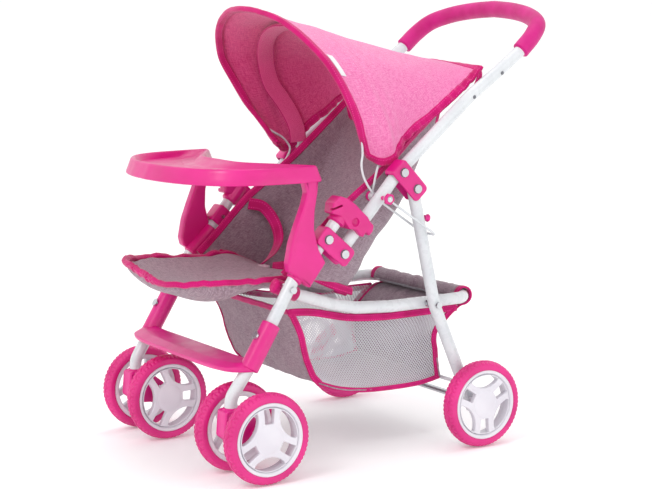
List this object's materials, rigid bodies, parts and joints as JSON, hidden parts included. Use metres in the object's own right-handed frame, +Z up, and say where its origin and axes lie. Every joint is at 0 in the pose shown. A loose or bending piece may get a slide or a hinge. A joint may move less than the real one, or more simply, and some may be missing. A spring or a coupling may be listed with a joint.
{
  "type": "doll stroller",
  "caption": "Folding toy pushchair with a hood, sling seat with snack tray, swivelling front wheels and a mesh basket under the seat.",
  "frame": {"origin": "on the floor, in the middle of the footprint", "axes": "+X to the stroller's left, -Y forward, +Z up"},
  "size_m": [0.366, 0.5721, 0.5818],
  "materials": {
    "magenta_plastic": "satin moulded",
    "tyre": "satin moulded foam",
    "rim": "satin moulded",
    "painted_tube": "gloss powder coat",
    "painted_wire": "gloss powder coat",
    "chrome_hardware": "polished",
    "foam_grip": "soft closed-cell foam",
    "binding": "woven tape",
    "canopy_fabric": "melange weave",
    "seat_fabric": "melange weave",
    "basket_fabric": "melange weave",
    "white_mesh": "open mesh",
    "white_plastic": "satin moulded"
  },
  "bodies": {
    "front_frame": {"front_leg_left": "painted_tube", "front_leg_right": "painted_tube", "lower_bracket_left": "magenta_plastic", "lower_bracket_right": "magenta_plastic", "lower_leg_screw_left": "chrome_hardware", "lower_leg_screw_right": "chrome_hardware", "fold_pivot_screw_left": "chrome_hardware", "fold_pivot_screw_right": "chrome_hardware", "fold_clip_left": "magenta_plastic", "fold_clip_right": "magenta_plastic", "side_pivot_bolt_left": "chrome_hardware", "side_pivot_bolt_right": "chrome_hardware", "footrest_bolt_left": "chrome_hardware", "footrest_bolt_right": "chrome_hardware", "footrest": "magenta_plastic", "tray": "magenta_plastic", "seat_base": "seat_fabric"},
    "handle_frame": {"handle_tube": "painted_tube", "handle_grip": "foam_grip", "upper_bracket_left": "magenta_plastic", "upper_bracket_right": "magenta_plastic", "handle_screw_left": "chrome_hardware", "handle_screw_right": "chrome_hardware", "rear_leg_screw_left": "chrome_hardware", "rear_leg_screw_right": "chrome_hardware", "canopy_pivot_left": "magenta_plastic", "canopy_pivot_right": "magenta_plastic", "harness_strap_left": "binding", "harness_strap_right": "binding", "harness_buckle": "white_plastic", "seat_back": "seat_fabric", "canopy": "canopy_fabric"},
    "rear_frame": {"rear_leg_left": "painted_tube", "rear_leg_right": "painted_tube", "side_stop_bolt_left": "chrome_hardware", "side_stop_bolt_right": "chrome_hardware", "rear_axle": "chrome_hardware", "cross_wire": "painted_wire", "catch_knob": "magenta_plastic"},
    "side_frame": {"side_tube": "painted_tube", "basket": "basket_fabric"},
    "catch": {"catch_loop": "painted_wire"},
    "front_bow": {"front_bow": "painted_wire"},
    "mid_bow": {"mid_bow": "painted_wire"},
    "caster_left": {"caster_housing_left": "magenta_plastic", "front_axle_left": "chrome_hardware"},
    "front_inner_wheel_left": {"front_inner_left_tyre": "tyre", "front_inner_left_rim": "rim"},
    "front_outer_wheel_left": {"front_outer_left_tyre": "tyre", "front_outer_left_rim": "rim"},
    "rear_wheel_left": {"rear_left_tyre": "tyre", "rear_left_rim": "rim"},
    "caster_right": {"caster_housing_right": "magenta_plastic", "front_axle_right": "chrome_hardware"},
    "front_inner_wheel_right": {"front_inner_right_tyre": "tyre", "front_inner_right_rim": "rim"},
    "front_outer_wheel_right": {"front_outer_right_tyre": "tyre", "front_outer_right_rim": "rim"},
    "rear_wheel_right": {"rear_right_tyre": "tyre", "rear_right_rim": "rim"}
  },
  "joints": [
    {"name": "fold", "type": "hinge", "parent": "front_frame", "child": "handle_frame", "pos_m": [0, -0.0703, 0.2708], "axis": [-1, 0, 0], "range_deg": [0, 115], "deforming": ["seat_back", "seat_base", "harness_strap_left", "harness_strap_right", "harness_buckle"]},
    {"name": "rear_leg_swing", "type": "hinge", "parent": "handle_frame", "child": "rear_frame", "pos_m": [0, 0.0405, 0.3459], "axis": [1, 0, 0], "range_deg": [0, 64]},
    {"name": "side_swing", "type": "hinge", "parent": "front_frame", "child": "side_frame", "pos_m": [0, -0.145, 0.232], "axis": [-1, 0, 0], "range_deg": [0, 78], "deforming": ["basket"]},
    {"name": "catch_swing", "type": "hinge", "parent": "handle_frame", "child": "catch", "pos_m": [0.138, -0.0095, 0.337], "axis": [1, 0, 0], "range_deg": [0, 70]},
    {"name": "canopy_fold", "type": "hinge", "parent": "handle_frame", "child": "front_bow", "pos_m": [0, -0.0095, 0.337], "axis": [-1, 0, 0], "range_deg": [0, 55], "deforming": ["canopy"]},
    {"name": "mid_bow_fold", "type": "hinge", "parent": "handle_frame", "child": "mid_bow", "pos_m": [0, -0.0095, 0.337], "axis": [-1, 0, 0], "range_deg": [0, 52]},
    {"name": "caster_swivel_left", "type": "hinge", "parent": "front_frame", "child": "caster_left", "pos_m": [0.134, -0.227, 0.095], "axis": [0, 0, 1], "continuous": true},
    {"name": "front_inner_spin_left", "type": "hinge", "parent": "caster_left", "child": "front_inner_wheel_left", "pos_m": [0.096, -0.199, 0.0575], "axis": [1, 0, 0], "continuous": true},
    {"name": "front_outer_spin_left", "type": "hinge", "parent": "caster_left", "child": "front_outer_wheel_left", "pos_m": [0.172, -0.199, 0.0575], "axis": [1, 0, 0], "continuous": true},
    {"name": "rear_spin_left", "type": "hinge", "parent": "rear_frame", "child": "rear_wheel_left", "pos_m": [0.168, 0.13, 0.0575], "axis": [1, 0, 0], "continuous": true},
    {"name": "caster_swivel_right", "type": "hinge", "parent": "front_frame", "child": "caster_right", "pos_m": [-0.134, -0.227, 0.095], "axis": [0, 0, 1], "continuous": true},
    {"name": "front_inner_spin_right", "type": "hinge", "parent": "caster_right", "child": "front_inner_wheel_right", "pos_m": [-0.096, -0.199, 0.0575], "axis": [1, 0, 0], "continuous": true},
    {"name": "front_outer_spin_right", "type": "hinge", "parent": "caster_right", "child": "front_outer_wheel_right", "pos_m": [-0.172, -0.199, 0.0575], "axis": [1, 0, 0], "continuous": true},
    {"name": "rear_spin_right", "type": "hinge", "parent": "rear_frame", "child": "rear_wheel_right", "pos_m": [-0.168, 0.13, 0.0575], "axis": [1, 0, 0], "continuous": true}
  ],
  "couplings": [
    {"joint": "rear_leg_swing", "follows": "fold", "ratio": 0.548},
    {"joint": "side_swing", "follows": "fold", "ratio": 0.672},
    {"joint": "catch_swing", "follows": "fold", "ratio": 0.6},
    {"joint": "mid_bow_fold", "follows": "canopy_fold", "ratio": 0.86}
  ]
}
